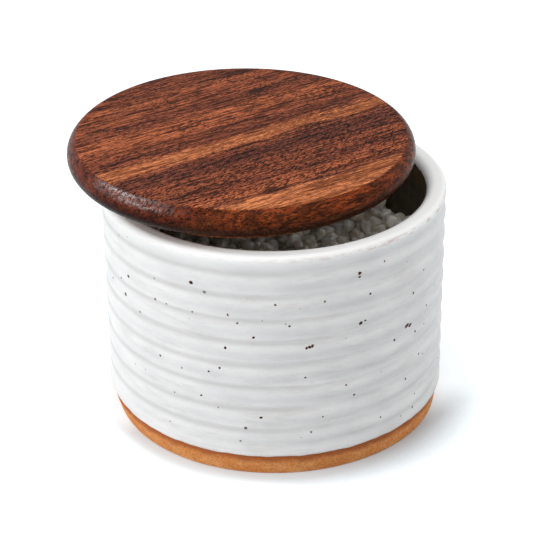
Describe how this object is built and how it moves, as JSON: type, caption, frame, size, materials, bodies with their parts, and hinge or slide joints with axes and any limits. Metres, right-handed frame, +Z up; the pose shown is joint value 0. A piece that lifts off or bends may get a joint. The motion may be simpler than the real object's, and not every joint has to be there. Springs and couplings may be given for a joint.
{
  "type": "salt cellar with loose lid",
  "caption": "Round stoneware salt cellar with a ribbed white glazed wall, bare clay foot, coarse salt inside and a loose turned wooden lid parked off centre on its lip.",
  "frame": {"origin": "centre of the pot's foot ring, on the surface that it stands on", "axes": "+Z up along the pot's axis, -Y towards the front from which the open side of the mouth shows, lid parked towards -X"},
  "size_m": [0.1099, 0.1039, 0.0845],
  "materials": {
    "bare_clay": "unglazed, sanded stoneware",
    "white_glaze": "satin white glaze with fine iron speckles",
    "dark_glaze": "satin dark brown liner glaze",
    "salt": "coarse translucent grey salt",
    "lid_wood": "oiled dark figured hardwood",
    "seal_rubber": "matte black silicone"
  },
  "bodies": {
    "pot": {"pot_body": "bare_clay", "outer_glaze": "white_glaze", "liner_glaze": "dark_glaze", "salt_bed": "salt", "salt_crystals": "salt"},
    "loose_lid": {"lid": "lid_wood", "seal_ring": "seal_rubber"}
  },
  "joints": [
    {"name": "lid_lift", "type": "slide", "parent": "pot", "child": "loose_lid", "axis": [0, 0, 1], "range_m": [0, 0.08]}
  ]
}
